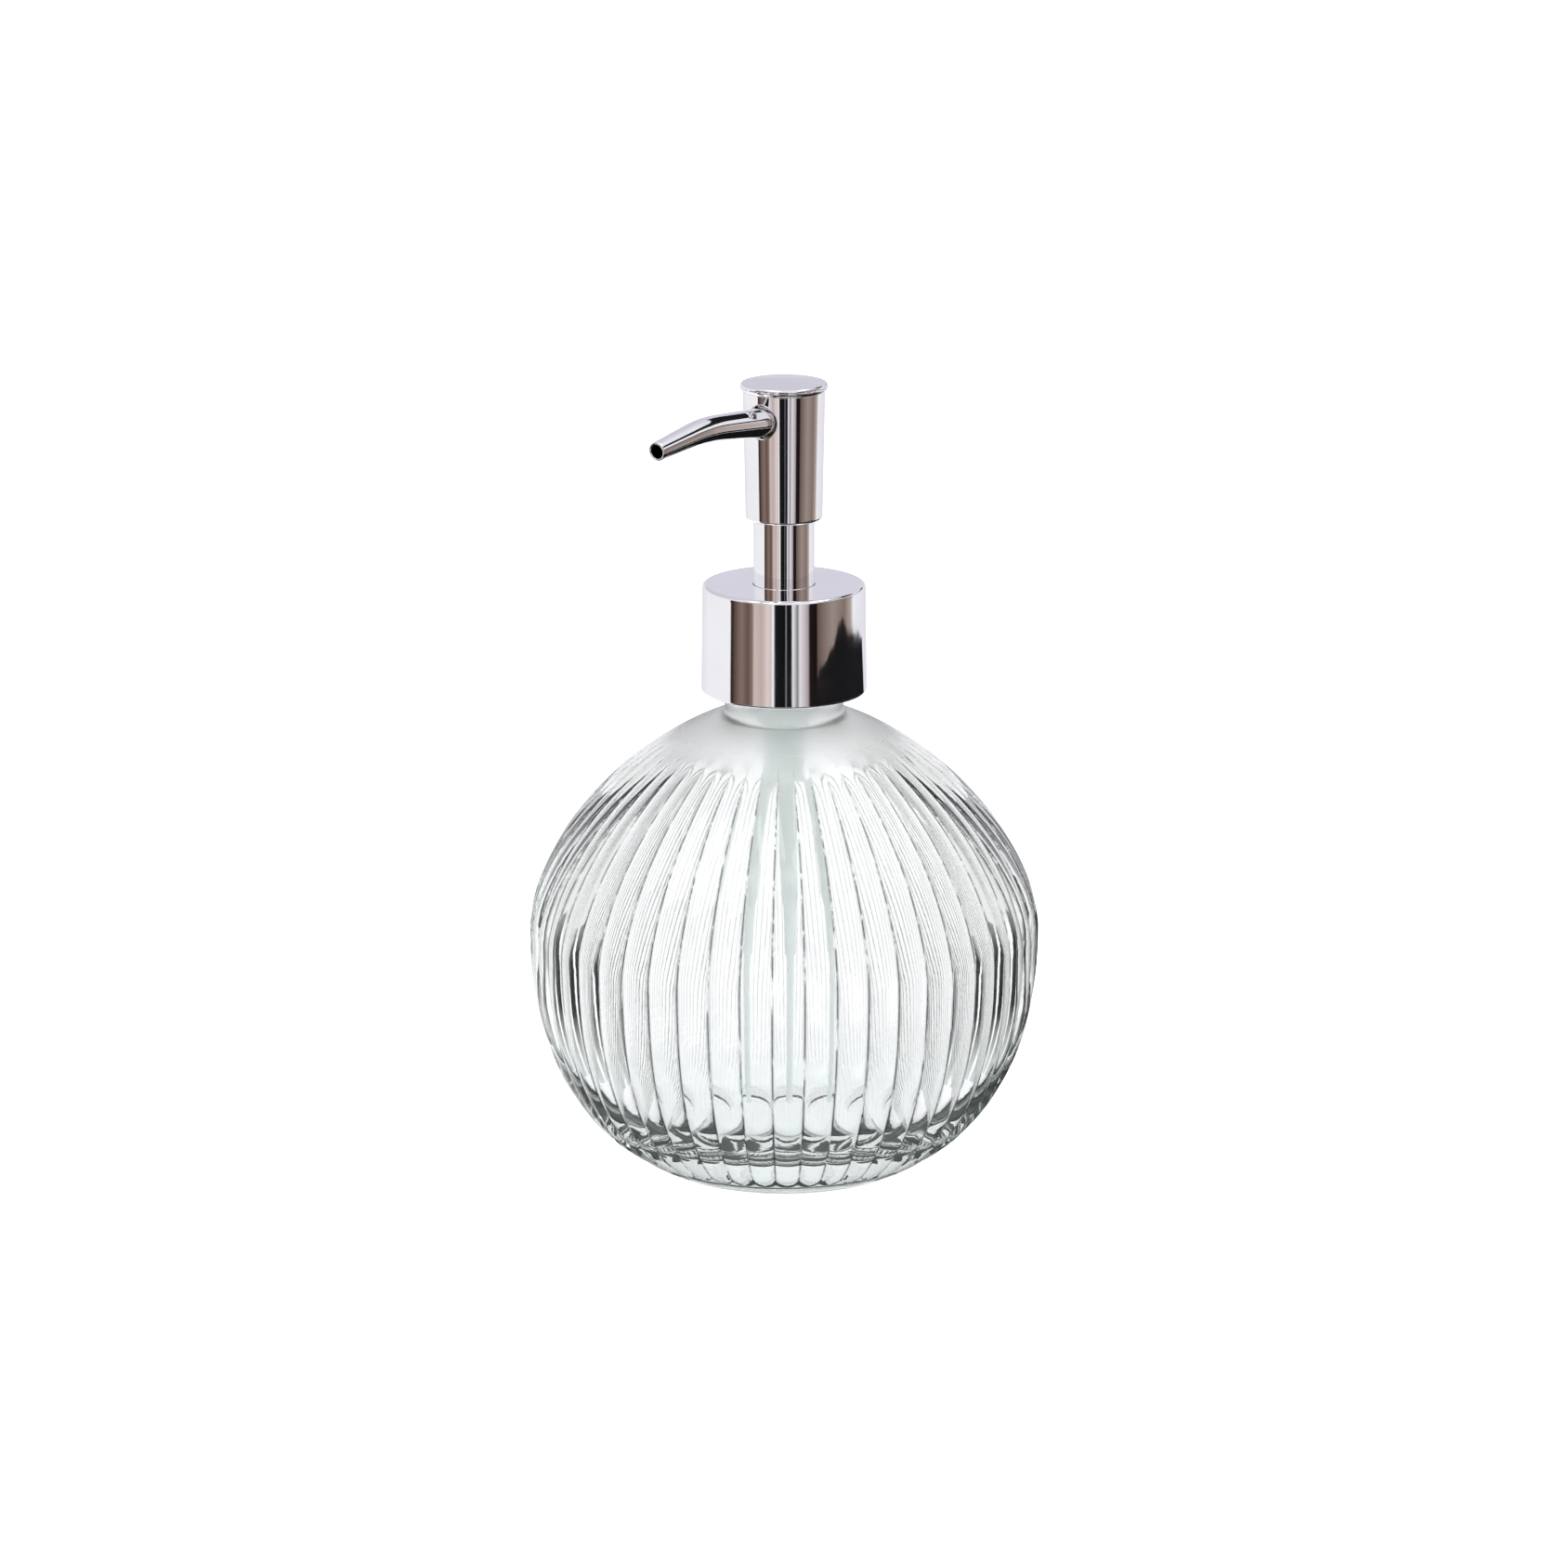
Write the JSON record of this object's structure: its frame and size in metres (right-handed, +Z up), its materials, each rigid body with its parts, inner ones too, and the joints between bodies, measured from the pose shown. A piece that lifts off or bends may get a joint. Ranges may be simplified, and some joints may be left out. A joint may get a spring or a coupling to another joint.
{
  "type": "soap pump dispenser",
  "caption": "Round ribbed glass bottle with a screw-on plated pump: cylindrical press head, thin bent spout and telescoping sleeve.",
  "frame": {"origin": "centre of the base, on the surface the bottle stands on", "axes": "+Z up along the pump and the bottle's axis; the spout points along -Y"},
  "size_m": [0.1048, 0.105, 0.1636],
  "materials": {
    "bottle": "clear pressed glass, fire-polished outside",
    "plated": "bright chrome plating over moulded plastic",
    "white_plastic": "moulded white plastic",
    "natural_plastic": "translucent natural polypropylene",
    "foam": "closed-cell foam liner",
    "steel": "drawn stainless steel"
  },
  "bodies": {
    "bottle_body": {"bottle": "bottle"},
    "pump_body": {"neck_gasket": "foam", "pump_chamber": "natural_plastic", "stem_guide": "white_plastic", "guide_sleeve": "plated", "dip_tube": "natural_plastic", "ball_cage": "white_plastic", "return_spring": "steel"},
    "collar_body": {"collar_shell": "plated", "closure_liner": "white_plastic"},
    "piston_body": {"piston_cup": "natural_plastic"},
    "head_body": {"piston_stem": "white_plastic", "spring_retainer": "white_plastic", "head_core": "white_plastic", "head_shell": "plated", "top_button": "plated", "spout": "plated"},
    "inlet_ball_body": {"inlet_ball": "steel"},
    "outlet_ball_body": {"outlet_ball": "steel"}
  },
  "joints": [
    {"name": "pump_lift", "type": "slide", "parent": "bottle_body", "child": "pump_body", "axis": [0, 0, 1], "range_m": [0, 0.12]},
    {"name": "collar_turn", "type": "hinge", "parent": "pump_body", "child": "collar_body", "pos_m": [0, 0, 0.111], "axis": [0, 0, 1], "range_deg": [0, 450]},
    {"name": "head_press", "type": "slide", "parent": "pump_body", "child": "piston_body", "axis": [0, 0, -1], "range_m": [0, 0.012], "stiffness_N_per_m": 600, "springref_m": -0.01, "deforming": ["return_spring"]},
    {"name": "head_swivel", "type": "hinge", "parent": "piston_body", "child": "head_body", "pos_m": [0, 0, 0.15], "axis": [0, 0, 1], "continuous": true},
    {"name": "inlet_ball_lift", "type": "slide", "parent": "pump_body", "child": "inlet_ball_body", "axis": [0, 0, 1], "range_m": [0, 0.0012]},
    {"name": "outlet_ball_lift", "type": "slide", "parent": "head_body", "child": "outlet_ball_body", "axis": [0, 0, 1], "range_m": [0, 0.0011]}
  ]
}
